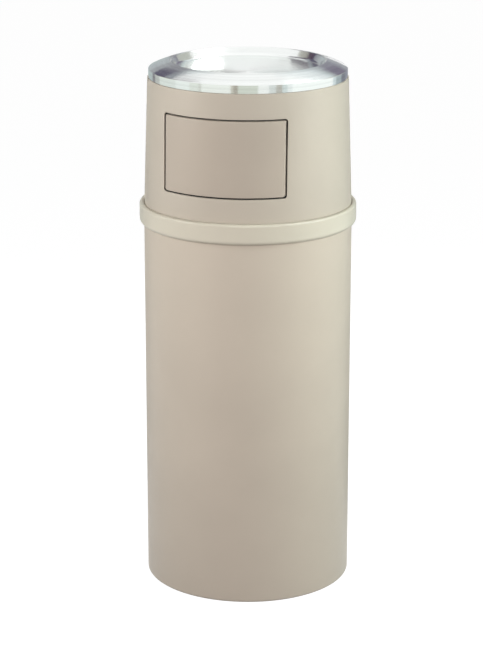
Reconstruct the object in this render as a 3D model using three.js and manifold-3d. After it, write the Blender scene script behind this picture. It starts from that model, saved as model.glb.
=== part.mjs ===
// Round dome top waste receptacle with a self-closing push door and a lift-off metal ash tray.
// Millimetres, +Z up, origin at the centre of the base, door facing -Y.
import * as THREE from "three";
import { mergeVertices } from "three/addons/utils/BufferGeometryUtils.js";
import Module from "manifold-3d";

const wasm = await Module();
wasm.setup();

// ---- Driving dimensions ----
const seatGap = 0.3; // left between two pieces that touch
const turns = 56; // facets round the large shells

// Container shell: a straight moulded tub with a pushed-up floor.
const bodyRadius = 188.8;
const shellWall = 4;
const shellHeight = 694;
const footRingWidth = 20.8;
const footHeight = 10;
const footSlope = 5;
const floorThickness = 4.3;
const baseFillet = 4;
const beadRise = 2.2; // snap bead round the rim, inside the collar
const beadHeight = 7;

// Rim collar: the pale ring snapped over the tub's bead.
const collarProud = 8.2; // how far it stands out from the tub
const collarHeight = 37.5;
const collarAboveRim = 16.8;
const collarTopFillet = 4.5;
const collarBottomFillet = 8;
const collarLipGap = 1.2; // air between the collar's lip and the hood

// Hood: a tapered shell whose spigot drops into the tub.
const hoodInset = 0.1; // the hood's foot against the tub's side
const hoodTaper = 8.2; // how much less the hood's radius is at its top
const hoodHeight = 244;
const hoodWall = 4;
const hoodShoulderFillet = 1.5;
const spigotClearance = 0.8;
const spigotWall = 3.5;
const spigotDepth = 22;
const spigotRise = 8;
const neckClearance = 0.6;
const neckHeight = 11;
const neckWall = 3.5;
const neckFlangeWidth = 26;
const gussetCount = 8;
const gussetSize = 18;
const gussetThickness = 3;

// Ash tray: a spun metal cap with a crowned rim and a shallow dish.
const trayInset = 2;
const traySheet = 1.6;
const traySkirtHeight = 15.5;
const trayCornerRadius = 2.6;
const trayCrown = 1.2; // how far the rim's slope bulges over a straight cone
const crownWidth = 38.5; // from the skirt in to the ridge
const ridgeRise = 13.5;
const ridgeBendRadius = 2.6;
const dishDepth = 16.5;
const dishWallRun = 9; // how far the dish's wall leans in
const dishFloorFillet = 4;
const dishFloorSag = 3.5;

// Door window in the hood.
const windowHalfWidth = 111.8;
const windowHeight = 140;
const windowBelowHoodTop = 45;
const windowCorner = 5;

// Door: a flush curved skin with an edge wall and a flange that closes against the hood's inside.
const doorGap = 3;
const doorSkin = 3;
const doorEdgeWall = 3;
const flangeSetback = 2.4; // air between the flange and the hood's inside
const flangeThickness = 2.4;
const flangeOverlapSide = 3;
const flangeOverlapTop = 5;
const flangeOverlapBottom = 9;
const ribCount = 3;
const ribSpacing = 54;
const ribThickness = 2.2;
const ribDepth = 4;

// Hinge across the top of the door.
const pivotAboveWindow = 11;
const rodRadius = 2.5;
const rodEndPlay = 2.5;
const rodEndFromWall = 6; // between the rod's ends and the hood's inside
const rodFacets = 16;
const screwFacets = 12;
const earThickness = 3;
const earRadius = 7.5;
const earDrop = 48;
const bushWall = 1.4;
const bushFlangeRadius = 6;
const bushFlangeThickness = 8; // fills the space between the door's ear and the bracket
const bracketSheet = 2.5;
const bracketHeight = 26;
const bracketFront = 10;
const bracketBack = 11;
const bracketFoot = 30;
const bracketBend = THREE.MathUtils.degToRad(35);
const screwAlongFoot = 18;
const screwSpacing = 15;
const screwRadius = 1.75;
const screwLength = 13;
const screwHeadRadius = 3.8;
const screwHeadHeight = 2.4;
const screwHeadChamfer = 1;
const bossRadius = 5;
const holeClearance = 0.4;
const clipRadius = 5.5;
const clipThickness = 2;
const wireRadius = 0.8;
const springCurls = 6;
const springPitch = 2.3;
const springRadius = 5;
const springEndPlay = 0.4;
const springLegRise = 24;
const springLegDrop = 38;
const bumperRadius = 3.5;
const bumperFromCentre = 92;

// Rigid liner: the bucket that holds the waste.
const linerSideGap = 10.3; // air round the top of its wall, inside the tub
const linerTaper = 11.5;
const linerBelowRim = 43.4; // from the tub's rim down to the liner's
const linerWall = 3;
const linerRimWidth = 4.5;
const linerRimDrop = 12;
const linerBaseFillet = 8;
const gripWidth = 96;
const gripHeight = 26;
const gripBelowRim = 16;

// ---- Sizes that follow from them ----
const shellBore = bodyRadius - shellWall;
const shellFloor = footHeight + floorThickness;
const footInnerRadius = bodyRadius - footRingWidth;
const beadRadius = bodyRadius + beadRise;
const collarRadius = bodyRadius + collarProud;
const collarTop = shellHeight + collarAboveRim;
const collarBase = collarTop - collarHeight;
const hoodBaseRadius = bodyRadius - hoodInset;
const hoodTopRadius = hoodBaseRadius - hoodTaper;
const hoodBase = shellHeight + seatGap;
const hoodTop = hoodBase + hoodHeight;

// Outside radius of the tapered hood at a height.
const hoodRadiusAt = (z) => hoodBaseRadius - (hoodTaper * (z - hoodBase)) / hoodHeight;
const hoodInsideAt = (z) => hoodRadiusAt(z) - hoodWall;

const windowTop = hoodTop - windowBelowHoodTop;
const windowBottom = windowTop - windowHeight;
const flangeFront = hoodWall + flangeSetback;
const doorDepth = flangeFront + flangeThickness;
const pivotHeight = windowTop + pivotAboveWindow;
const doorHalfWidth = windowHalfWidth - doorGap;
const bracketInner = doorHalfWidth + bushFlangeThickness + 2 * seatGap;
const clipStart = bracketInner + bracketSheet + seatGap;
const rodHalfLength = clipStart + clipThickness + rodEndPlay;
const rodEndRadius = hoodInsideAt(pivotHeight) - rodEndFromWall;
const pivotFromAxis = Math.sqrt(rodEndRadius ** 2 - rodHalfLength ** 2);
const trayRadius = hoodTopRadius - trayInset;
const traySeat = hoodTop + seatGap;
const trayShoulder = traySeat + traySkirtHeight;
const ridgeRadius = trayRadius - crownWidth;
const neckRadius = trayRadius - traySheet - neckClearance;
const linerTopRadius = shellBore - linerSideGap;
const linerBaseRadius = linerTopRadius - linerTaper;

// How far the middle of a flat facet lies inside a circle.
const facetSag = (radius) => radius * (1 - Math.cos(Math.PI / turns));

// ---- Materials ----
const beige = new THREE.MeshStandardMaterial({ color: 0xcfc3ae, roughness: 0.5, metalness: 0 });
const paleBeige = new THREE.MeshStandardMaterial({ color: 0xd9d2c0, roughness: 0.45, metalness: 0 });
const doorBeige = new THREE.MeshStandardMaterial({ color: 0xc4b7a5, roughness: 0.5, metalness: 0 });
const spunMetal = new THREE.MeshStandardMaterial({ color: 0xd9dcdd, roughness: 0.25, metalness: 1 });
const zincSteel = new THREE.MeshStandardMaterial({ color: 0xb4b6b8, roughness: 0.4, metalness: 1 });
const springSteel = new THREE.MeshStandardMaterial({ color: 0x8b8d90, roughness: 0.35, metalness: 1 });
const nylon = new THREE.MeshStandardMaterial({ color: 0xe8e6df, roughness: 0.5, metalness: 0 });
const rubber = new THREE.MeshStandardMaterial({ color: 0x2b2a29, roughness: 0.85, metalness: 0 });
const greyPlastic = new THREE.MeshStandardMaterial({ color: 0x77797b, roughness: 0.6, metalness: 0 });

// ---- Solids ----
function solidOf(geometry) {
  const bare = new THREE.BufferGeometry().setAttribute("position", geometry.getAttribute("position"));
  if (geometry.index) bare.setIndex(geometry.index);
  const merged = mergeVertices(bare, 1e-3);
  return new wasm.Manifold(
    new wasm.Mesh({
      numProp: 3,
      vertProperties: merged.attributes.position.array,
      triVerts: new Uint32Array(merged.index.array),
    })
  );
}

function meshOf(name, solid, material) {
  const made = solid.getMesh();
  const geometry = new THREE.BufferGeometry();
  geometry.setAttribute("position", new THREE.BufferAttribute(made.vertProperties, 3));
  geometry.setIndex(new THREE.BufferAttribute(made.triVerts, 1));
  geometry.computeVertexNormals();
  const mesh = new THREE.Mesh(geometry, material);
  mesh.name = name;
  return mesh;
}

// Points of an arc in the (radius, height) plane, both ends included.
function arc(r, z, radius, fromDeg, toDeg, steps) {
  return Array.from({ length: steps + 1 }, (_, i) => {
    const a = THREE.MathUtils.degToRad(fromDeg + ((toDeg - fromDeg) * i) / steps);
    return [r + radius * Math.cos(a), z + radius * Math.sin(a)];
  });
}

// The lathe solid of a profile of [radius, height] points. The outline runs anticlockwise.
function lathed(profile, facets) {
  const points = profile.map(([r, z]) => new THREE.Vector2(r, z));
  if (profile[0][0] > 0) points.push(points[0].clone());
  return new THREE.LatheGeometry(points, facets);
}

// A profile turned round Z.
const turned = (profile) => solidOf(lathed(profile, turns).rotateX(Math.PI / 2));

// A profile turned round the hinge's line: its heights become places along X.
const turnedOnHinge = (profile) =>
  solidOf(lathed(profile, rodFacets).rotateZ(-Math.PI / 2).translate(0, -pivotFromAxis, pivotHeight));

const rod = (radius, from, to) => [[0, from], [radius, from], [radius, to], [0, to]];

// A profile turned round the line from one point towards another.
function turnedAlong(profile, from, to) {
  const along = new THREE.Vector3().subVectors(to, from).normalize();
  const turn = new THREE.Quaternion().setFromUnitVectors(new THREE.Vector3(0, 1, 0), along);
  return solidOf(lathed(profile, screwFacets).applyQuaternion(turn).translate(from.x, from.y, from.z));
}

// A round bar between two points.
const bar = (radius, from, to) => turnedAlong(rod(radius, 0, from.distanceTo(to)), from, to);

// The hood's tapered wall between two depths under its outside, over a range of heights.
function taperedShell(outerDepth, innerDepth, low, high) {
  return turned([
    [hoodRadiusAt(low) - innerDepth, low],
    [hoodRadiusAt(low) - outerDepth, low],
    [hoodRadiusAt(high) - outerDepth, high],
    [hoodRadiusAt(high) - innerDepth, high],
  ]);
}

// Everything in front of the hood's axis inside a rectangle with round corners, seen from the front.
function frontPrism(halfWidth, low, high, corner) {
  const outline = new THREE.Shape();
  outline.absarc(halfWidth - corner, low + corner, corner, -Math.PI / 2, 0);
  outline.absarc(halfWidth - corner, high - corner, corner, 0, Math.PI / 2);
  outline.absarc(-halfWidth + corner, high - corner, corner, Math.PI / 2, Math.PI);
  outline.absarc(-halfWidth + corner, low + corner, corner, Math.PI, 1.5 * Math.PI);
  const depth = hoodBaseRadius + doorGap;
  const prism = new THREE.ExtrudeGeometry(outline, { depth, bevelEnabled: false, curveSegments: 4 });
  return solidOf(prism.rotateX(Math.PI / 2));
}

// A box given by its lowest and highest corners.
function block([x0, y0, z0], [x1, y1, z1]) {
  const box = new THREE.BoxGeometry(x1 - x0, y1 - y0, z1 - z0);
  return solidOf(box.translate((x0 + x1) / 2, (y0 + y1) / 2, (z0 + z1) / 2));
}

// Both sides of something that is modelled on the right.
const bothSides = (solid) => solid.add(solid.mirror([1, 0, 0]));

// ---- Container ----
function containerShell() {
  const slopeTop = footInnerRadius - footSlope;
  const filletCentre = bodyRadius - baseFillet;
  return turned([
    [0, footHeight],
    [slopeTop, footHeight],
    [footInnerRadius, 0],
    ...arc(filletCentre, baseFillet, baseFillet, -90, 0, 3),
    [bodyRadius, shellHeight - beadHeight - beadRise],
    [beadRadius, shellHeight - beadHeight],
    [beadRadius, shellHeight],
    [shellBore, shellHeight],
    [shellBore, floorThickness + baseFillet],
    [shellBore - baseFillet, floorThickness],
    [footInnerRadius + footSlope / 2, floorThickness],
    [slopeTop + footSlope / 2, shellFloor],
    [0, shellFloor],
  ]);
}

function rimCollar() {
  const bore = bodyRadius + seatGap;
  const groove = beadRadius + seatGap;
  const grooveBase = shellHeight - beadHeight - beadRise - seatGap;
  const grooveTop = shellHeight + seatGap;
  const lip = hoodBaseRadius + collarLipGap;
  const lowCentre = collarBase + collarBottomFillet;
  const topCentre = collarTop - collarTopFillet;
  return turned([
    [bore, collarBase],
    ...arc(collarRadius - collarBottomFillet, lowCentre, collarBottomFillet, -70, 0, 3),
    ...arc(collarRadius - collarTopFillet, topCentre, collarTopFillet, 0, 90, 3),
    [lip, collarTop - 2 * seatGap],
    [lip, grooveTop],
    [groove, grooveTop],
    [groove, grooveBase + beadRise],
    [bore, grooveBase],
  ]);
}

// ---- Rigid liner ----
function rigidLiner() {
  const base = shellFloor + seatGap;
  const rim = shellHeight - linerBelowRim;
  const rimRadius = linerTopRadius + linerRimWidth;
  const rimUnderside = rim - linerWall;
  const foot = linerBaseRadius - linerBaseFillet;
  const bucket = turned([
    [0, base],
    [foot, base],
    [linerBaseRadius, base + linerBaseFillet],
    [linerTopRadius, rimUnderside],
    [rimRadius - linerWall, rimUnderside],
    [rimRadius - linerWall, rim - linerRimDrop],
    [rimRadius, rim - linerRimDrop],
    [rimRadius, rim],
    [linerTopRadius - linerWall, rim],
    [linerBaseRadius - linerWall, base + linerBaseFillet + linerWall / 2],
    [foot - linerWall / 2, base + linerWall],
    [0, base + linerWall],
  ]);
  return bucket.subtract(gripSlot(rim - gripBelowRim - gripHeight / 2, 2 * rimRadius));
}

// A long hole with round ends through both side walls.
function gripSlot(height, length) {
  const end = gripHeight / 2;
  const slot = new THREE.Shape();
  slot.absarc(gripWidth / 2 - end, 0, end, -Math.PI / 2, Math.PI / 2);
  slot.absarc(end - gripWidth / 2, 0, end, Math.PI / 2, 1.5 * Math.PI);
  const cutter = new THREE.ExtrudeGeometry(slot, { depth: length, bevelEnabled: false, curveSegments: 6 });
  cutter.translate(0, 0, -length / 2).rotateX(Math.PI / 2).rotateZ(Math.PI / 2);
  return solidOf(cutter.translate(0, 0, height));
}

// ---- Hood ----
// A bracket's foot in plan: where it starts, which way it runs, and which way its screws point.
const footStart = new THREE.Vector2(bracketInner + bracketSheet / 2, bracketBack - pivotFromAxis);
const footRun = new THREE.Vector2(Math.sin(bracketBend), Math.cos(bracketBend));
const outward = new THREE.Vector2(Math.cos(bracketBend), -Math.sin(bracketBend));
const screwPlan = footStart.clone().addScaledVector(footRun, screwAlongFoot);
const screwHeights = [pivotHeight - screwSpacing / 2, pivotHeight + screwSpacing / 2];
const footFace = bracketSheet / 2;

// A point on a screw's line, so far outward from the middle of the foot.
function onScrewLine(depth, height) {
  const at = screwPlan.clone().addScaledVector(outward, depth);
  return new THREE.Vector3(at.x, at.y, height);
}

function hoodShell() {
  const spigotRadius = shellBore - spigotClearance;
  const spigotBore = spigotRadius - spigotWall;
  const spigotFoot = hoodBase - spigotDepth;
  const spigotTop = hoodBase + spigotRise;
  const insideStep = spigotTop + hoodInsideAt(spigotTop) - spigotBore;
  const shoulderCentre = hoodTopRadius - hoodShoulderFillet;
  const neckTop = hoodTop + neckHeight;
  const flangeBore = neckRadius - neckFlangeWidth;
  const flangeUnder = neckTop - neckWall;
  const underNeck = hoodTop - hoodWall;
  const neckBore = neckRadius - neckWall;
  const shell = turned([
    [spigotBore, spigotFoot],
    [spigotRadius - spigotClearance, spigotFoot],
    [spigotRadius, spigotFoot + 2 * spigotClearance],
    [spigotRadius, hoodBase],
    [hoodBaseRadius, hoodBase],
    ...arc(shoulderCentre, hoodTop - hoodShoulderFillet, hoodShoulderFillet, 0, 90, 2),
    [neckRadius, hoodTop],
    [neckRadius, neckTop],
    [flangeBore, neckTop],
    [flangeBore, flangeUnder],
    [neckBore, flangeUnder],
    [neckBore, underNeck],
    [hoodInsideAt(underNeck), underNeck - hoodInsideAt(underNeck) + neckBore],
    [hoodInsideAt(insideStep), insideStep],
    [spigotBore, spigotTop],
  ]);
  const window = frontPrism(windowHalfWidth, windowBottom, windowTop, windowCorner);
  return shell
    .subtract(window)
    .add(neckGussets(flangeUnder, flangeBore, neckBore))
    .add(screwBosses())
    .subtract(screwPilots());
}

// Triangular webs that stiffen the neck's flange from below.
function neckGussets(top, flangeBore, neckBore) {
  const embed = neckWall / 2;
  const web = new THREE.Shape();
  web.moveTo(flangeBore + gussetThickness, top + embed);
  web.lineTo(neckBore + embed, top + embed);
  web.lineTo(neckBore + embed, hoodTop - hoodWall);
  web.lineTo(neckBore - embed, top - gussetSize / 2);
  const made = [];
  for (let i = 0; i < gussetCount; i++) {
    const angle = ((i + 0.5) * 2 * Math.PI) / gussetCount;
    const flat = new THREE.ExtrudeGeometry(web, { depth: gussetThickness, bevelEnabled: false });
    flat.translate(0, 0, -gussetThickness / 2).rotateX(Math.PI / 2).rotateZ(angle);
    made.push(solidOf(flat));
  }
  return wasm.Manifold.union(made);
}

function screwBosses() {
  const face = footFace + seatGap;
  const reach = hoodRadiusAt(pivotHeight) - screwPlan.length();
  const made = screwHeights.map((z) => bar(bossRadius, onScrewLine(face, z), onScrewLine(reach, z)));
  const outerSkin = taperedShell(hoodWall / 2, hoodRadiusAt(hoodTop) / 2, windowBottom, hoodTop);
  return bothSides(wasm.Manifold.union(made).intersect(outerSkin));
}

function screwPilots() {
  const depth = footFace + screwLength + holeClearance;
  const radius = screwRadius + holeClearance;
  const made = screwHeights.map((z) => bar(radius, onScrewLine(0, z), onScrewLine(depth, z)));
  return bothSides(wasm.Manifold.union(made));
}

// ---- Door ----
function doorPanel() {
  const low = windowBottom + doorGap;
  const high = windowTop - doorGap;
  const corner = windowCorner - doorGap / 2;
  const pocketHalf = doorHalfWidth - doorEdgeWall;
  const flangeHalf = windowHalfWidth + flangeOverlapSide;
  const flangeLow = windowBottom - flangeOverlapBottom;
  const flangeHigh = windowTop + flangeOverlapTop;
  const layer = (outer, inner) =>
    taperedShell(outer, inner, flangeLow - flangeOverlapBottom, flangeHigh + flangeOverlapTop);
  const face = frontPrism(doorHalfWidth, low, high, corner);
  const pocket = frontPrism(pocketHalf, low + doorEdgeWall, high - doorEdgeWall, corner);
  const flange = frontPrism(flangeHalf, flangeLow, flangeHigh, windowCorner);
  const skin = layer(0, doorSkin).intersect(face);
  const edge = layer(0, doorDepth).intersect(face.subtract(pocket));
  const lip = layer(flangeFront, doorDepth).intersect(flange.subtract(pocket));
  const ribs = doorRibs(low, high).intersect(layer(doorSkin / 2, doorSkin + ribDepth));
  const boreRadius = rodRadius + bushWall + seatGap + holeClearance;
  const bore = turnedOnHinge(rod(boreRadius, -rodHalfLength, rodHalfLength));
  return skin.add(edge).add(lip).add(ribs).add(bothSides(doorEar())).subtract(bore);
}

function doorRibs(low, high) {
  const half = ribThickness / 2;
  const made = [];
  for (let i = 0; i < ribCount; i++) {
    const x = (i - (ribCount - 1) / 2) * ribSpacing;
    made.push(block([x - half, -hoodBaseRadius, low + half], [x + half, 0, high - half]));
  }
  const middle = (low + high) / 2;
  const width = doorHalfWidth - doorEdgeWall / 2;
  made.push(block([-width, -hoodBaseRadius, middle - half], [width, 0, middle + half]));
  return wasm.Manifold.union(made);
}

// The ear that carries the door's right end on the rod. Its outline lies in the plane of Y and Z.
function doorEar() {
  const front = -hoodRadiusAt(pivotHeight);
  const low = windowBottom - flangeOverlapBottom;
  const outline = new THREE.Shape();
  outline.moveTo(front, windowTop - earDrop);
  outline.lineTo(front, windowTop + flangeOverlapTop);
  outline.absarc(-pivotFromAxis, pivotHeight, earRadius, 0.75 * Math.PI, -0.25 * Math.PI, true);
  const depth = earThickness;
  const ear = new THREE.ExtrudeGeometry(outline, { depth, bevelEnabled: false, curveSegments: 8 });
  ear.rotateX(Math.PI / 2).rotateZ(Math.PI / 2).translate(doorHalfWidth - earThickness, 0, 0);
  const nearAxis = pivotFromAxis - earRadius;
  const insideHood = taperedShell(flangeFront, nearAxis, low, hoodTop);
  const insideWindow = taperedShell(doorSkin / 2, nearAxis, low, windowTop - doorGap);
  return solidOf(ear).intersect(insideHood.add(insideWindow));
}

// A rubber stop between the flange and the hood's inside.
function doorBumper() {
  const height = windowBottom - flangeOverlapBottom / 2;
  const wall = hoodInsideAt(height);
  const angle = Math.asin(bumperFromCentre / wall);
  const direction = new THREE.Vector3(Math.sin(angle), -Math.cos(angle), 0);
  const at = (radius) => direction.clone().multiplyScalar(radius).setZ(height);
  const back = wall - flangeSetback + seatGap;
  return bar(bumperRadius, at(back), at(wall - facetSag(wall) - seatGap));
}

// ---- Hinge ----
function hingeBush() {
  const bore = rodRadius + seatGap;
  const sleeve = bore + bushWall;
  const flangeStart = doorHalfWidth + seatGap;
  const flangeEnd = flangeStart + bushFlangeThickness;
  return turnedOnHinge([
    [bore, doorHalfWidth - earThickness],
    [sleeve, doorHalfWidth - earThickness],
    [sleeve, flangeStart],
    [bushFlangeRadius, flangeStart],
    [bushFlangeRadius, flangeEnd],
    [bore, flangeEnd],
  ]);
}

// A bent strap: an ear with the rod's hole, and a foot screwed to the hood's bosses.
function hingeBracket() {
  const half = bracketSheet / 2;
  const front = -pivotFromAxis - bracketFront;
  const mitre = half * Math.tan(bracketBend / 2);
  const footEnd = footStart.clone().addScaledVector(footRun, bracketFoot);
  const outline = new THREE.Shape([
    new THREE.Vector2(footStart.x - half, front),
    new THREE.Vector2(footStart.x + half, front),
    new THREE.Vector2(footStart.x + half, footStart.y - mitre),
    footEnd.clone().addScaledVector(outward, half),
    footEnd.clone().addScaledVector(outward, -half),
    new THREE.Vector2(footStart.x - half, footStart.y + mitre),
  ]);
  const strap = new THREE.ExtrudeGeometry(outline, { depth: bracketHeight, bevelEnabled: false });
  strap.translate(0, 0, pivotHeight - bracketHeight / 2);
  const rodHole = turnedOnHinge(rod(rodRadius + holeClearance, 0, rodHalfLength));
  const screwHoles = screwHeights.map((z) =>
    bar(screwRadius + holeClearance, onScrewLine(-bracketSheet, z), onScrewLine(bracketSheet, z))
  );
  return solidOf(strap).subtract(rodHole).subtract(wasm.Manifold.union(screwHoles));
}

// A screw whose head lies on the bracket's foot and whose shank ends in the hood's boss.
function bracketScrew(height) {
  const headTop = -footFace - seatGap - screwHeadHeight;
  const tip = footFace + screwLength - headTop;
  const profile = [
    [0, 0],
    [screwHeadRadius - screwHeadChamfer, 0],
    [screwHeadRadius, screwHeadChamfer],
    [screwHeadRadius, screwHeadHeight],
    [screwRadius, screwHeadHeight],
    [screwRadius, tip],
    [0, tip],
  ];
  return turnedAlong(profile, onScrewLine(headTop, height), onScrewLine(0, height));
}

function rodClip() {
  const bore = rodRadius + seatGap;
  return turnedOnHinge([
    [bore, clipStart],
    [clipRadius, clipStart],
    [clipRadius, clipStart + clipThickness / 2],
    [bore + bushWall, clipStart + clipThickness],
    [bore, clipStart + clipThickness],
  ]);
}

// The centre of the right-hand spring's wire: a straight leg on the hood's inside, curls round the
// rod, and a straight leg on the door's inside. Each curl has eight steps.
function springPoints() {
  const curlSteps = 8;
  const steps = springCurls * curlSteps - 1;
  const inner = doorHalfWidth - earThickness - springEndPlay - wireRadius;
  const outer = inner - (steps / curlSteps) * springPitch;
  const onWall = (x, wall, z) => {
    const radius = wall - facetSag(wall) - seatGap - wireRadius;
    return new THREE.Vector3(x, -Math.sqrt(radius * radius - x * x), z);
  };
  const hoodEnd = pivotHeight + springLegRise;
  const doorEnd = pivotHeight - springLegDrop;
  const points = [onWall(outer, hoodInsideAt(hoodEnd), hoodEnd)];
  for (let i = 0; i <= steps; i++) {
    const a = 1.25 * Math.PI + (i / curlSteps) * 2 * Math.PI;
    const y = springRadius * Math.cos(a) - pivotFromAxis;
    const z = springRadius * Math.sin(a) + pivotHeight;
    points.push(new THREE.Vector3(outer + (i / steps) * (inner - outer), y, z));
  }
  points.push(onWall(inner, hoodRadiusAt(doorEnd) - doorSkin, doorEnd));
  return points;
}

// A line through points, whose sections sit on the points themselves.
class PointLine extends THREE.Curve {
  constructor(points) {
    super();
    this.points = points;
  }
  getPoint(t, target = new THREE.Vector3()) {
    const place = t * (this.points.length - 1);
    const i = Math.min(Math.floor(place), this.points.length - 2);
    return target.lerpVectors(this.points[i], this.points[i + 1], place - i);
  }
  getUtoTmapping(u) {
    return u;
  }
}

// The least distance between stretches of wire at least half a curl apart, less the wire itself.
function leastGap(points) {
  const finer = 4;
  const line = new PointLine(points);
  const count = (points.length - 1) * finer;
  const places = Array.from({ length: count + 1 }, (_, i) => line.getPoint(i / count));
  let least = Infinity;
  for (let i = 0; i < places.length; i++) {
    for (let j = i + 4 * finer; j < places.length; j++) {
      least = Math.min(least, places[i].distanceTo(places[j]) - 2 * wireRadius);
    }
  }
  return least;
}

// A five-sided tube along the spring's line, closed at both ends.
function doorSpring() {
  const points = springPoints();
  const section = new THREE.Shape(
    Array.from({ length: 5 }, (_, i) => {
      const a = (i * 2 * Math.PI) / 5;
      return new THREE.Vector2(wireRadius * Math.cos(a), wireRadius * Math.sin(a));
    })
  );
  const steps = points.length - 1;
  const extrudePath = new PointLine(points);
  return solidOf(new THREE.ExtrudeGeometry(section, { steps, extrudePath, bevelEnabled: false }));
}

// The hardware at the right-hand end of the hinge. The left-hand end is its mirror image.
function hingeEnd(side) {
  const end = new THREE.Group();
  end.add(meshOf(`hinge_bracket_${side}`, hingeBracket(), zincSteel));
  end.add(meshOf(`hinge_bush_${side}`, hingeBush(), nylon));
  end.add(meshOf(`rod_clip_${side}`, rodClip(), springSteel));
  end.add(meshOf(`door_spring_${side}`, doorSpring(), springSteel));
  end.add(meshOf(`door_bumper_${side}`, doorBumper(), rubber));
  screwHeights.forEach((height, i) =>
    end.add(meshOf(`bracket_screw_${side}_${i + 1}`, bracketScrew(height), zincSteel))
  );
  return end;
}

// ---- Ash tray ----
function ashTray() {
  const ridgeTop = trayShoulder + ridgeRise;
  const corner = trayRadius - trayCornerRadius;
  const dishBottom = ridgeTop - dishDepth;
  const floorEdge = ridgeRadius - dishWallRun - dishFloorFillet;
  const slope = Math.atan2(ridgeRise, corner - ridgeRadius);
  const lean = 90 - THREE.MathUtils.radToDeg(slope);
  const crown = [1 / 3, 2 / 3].map((t) => [
    THREE.MathUtils.lerp(corner, ridgeRadius, t),
    THREE.MathUtils.lerp(trayShoulder, ridgeTop, t) + trayCrown * 4 * t * (1 - t),
  ]);
  // The upper face, from the foot of the skirt to the centre of the dish.
  const upper = [
    [trayRadius, traySeat],
    ...arc(corner, trayShoulder - trayCornerRadius, trayCornerRadius, 0, lean, 2),
    ...crown,
    ...arc(ridgeRadius, ridgeTop - ridgeBendRadius, ridgeBendRadius, lean, 150, 2),
    ...arc(floorEdge, dishBottom + dishFloorFillet, dishFloorFillet, -30, -88, 2),
    [floorEdge / 2, dishBottom - dishFloorSag * 0.75],
    [0, dishBottom - dishFloorSag],
  ];
  return turned([...upper, ...sheetUnderside(upper, traySheet).reverse()]);
}

// The line of a sheet's upper face moved to its lower face.
function sheetUnderside(line, thickness) {
  return line.map(([r, z], i) => {
    const [r0, z0] = line[Math.max(i - 1, 0)];
    const [r1, z1] = line[Math.min(i + 1, line.length - 1)];
    const length = Math.hypot(r1 - r0, z1 - z0);
    const movedR = r - ((z1 - z0) / length) * thickness;
    const movedZ = z + ((r1 - r0) / length) * thickness;
    return [r === 0 ? 0 : movedR, i === 0 ? z : movedZ];
  });
}

// ---- Assembly ----
const receptacle = new THREE.Group();
receptacle.add(meshOf("container_shell", containerShell(), beige));
receptacle.add(meshOf("rim_collar", rimCollar(), paleBeige));
receptacle.add(meshOf("rigid_liner", rigidLiner(), greyPlastic));
receptacle.add(meshOf("hood_shell", hoodShell(), beige));
receptacle.add(meshOf("ash_tray", ashTray(), spunMetal));
receptacle.add(meshOf("door_panel", doorPanel(), doorBeige));
const hingeRod = turnedOnHinge(rod(rodRadius, -rodHalfLength, rodHalfLength));
receptacle.add(meshOf("hinge_rod", hingeRod, zincSteel));
receptacle.add(hingeEnd("right"));
const leftEnd = hingeEnd("left");
leftEnd.scale.x = -1;
receptacle.add(leftEnd);

console.log(`door spring: least gap to itself ${leastGap(springPoints()).toFixed(2)} mm`);

export default receptacle;
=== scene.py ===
import math

import bmesh
import bpy
from mathutils import Matrix, Vector
from mathutils.geometry import delaunay_2d_cdt


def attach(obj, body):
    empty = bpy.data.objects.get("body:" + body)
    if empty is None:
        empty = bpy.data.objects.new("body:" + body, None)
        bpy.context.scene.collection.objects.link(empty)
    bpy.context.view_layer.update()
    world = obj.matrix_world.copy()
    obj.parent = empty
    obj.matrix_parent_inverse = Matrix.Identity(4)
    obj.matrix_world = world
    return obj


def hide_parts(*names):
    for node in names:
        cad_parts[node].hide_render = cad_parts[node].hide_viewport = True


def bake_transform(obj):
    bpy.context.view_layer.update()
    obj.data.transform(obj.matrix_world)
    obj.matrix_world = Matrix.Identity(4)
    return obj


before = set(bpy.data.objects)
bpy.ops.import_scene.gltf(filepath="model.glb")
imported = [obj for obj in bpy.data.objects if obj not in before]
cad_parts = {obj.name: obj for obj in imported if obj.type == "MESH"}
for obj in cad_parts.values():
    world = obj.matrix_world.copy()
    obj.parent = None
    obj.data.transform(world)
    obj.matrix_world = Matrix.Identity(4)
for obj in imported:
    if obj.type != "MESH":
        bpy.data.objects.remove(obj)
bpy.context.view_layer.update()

# ---- Sizes of the receptacle, in metres, as in the CAD model unless a comment says otherwise ----
SEAT = 0.0003  # air between pieces that rest on each other
BODY_R = 0.1888
BORE_R = 0.1848
BEAD_R = 0.1910
RIM_Z = 0.694
COLLAR_R = 0.197
COLLAR_LOW = 0.6733
COLLAR_TOP = 0.7108
LIP_R = 0.1890  # 0.9 mm closer to the hood than in the CAD model
HOOD_LOW = 0.6943
HOOD_TOP = 0.9383
HOOD_LOW_R = 0.1887
HOOD_TOP_R = 0.1805
WALL = 0.004
WINDOW_HALF = 0.1118
WINDOW_LOW = 0.7533
WINDOW_TOP = 0.8933
WINDOW_CORNER = 0.005
DOOR_GAP = 0.003
DOOR_HALF = WINDOW_HALF - DOOR_GAP
DOOR_SKIN = 0.003
FLANGE_FRONT = 0.0064
FLANGE_BACK = 0.0088
PIVOT_Y = -0.117945
PIVOT_Z = 0.9043
COLUMNS = 256  # round a full turn
ON_AXIS = 1e-7  # a point nearer to the axis than this lies on it


def hood_r(z):
    """Outside radius of the tapered hood at a height."""
    return HOOD_LOW_R + (HOOD_TOP_R - HOOD_LOW_R) * (z - HOOD_LOW) / (HOOD_TOP - HOOD_LOW)


def front_point(x, z, depth):
    """The point at (x, z) on the front of the hood, so deep under its outside."""
    return (x, -math.sqrt((hood_r(z) - depth) ** 2 - x * x), z)


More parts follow.
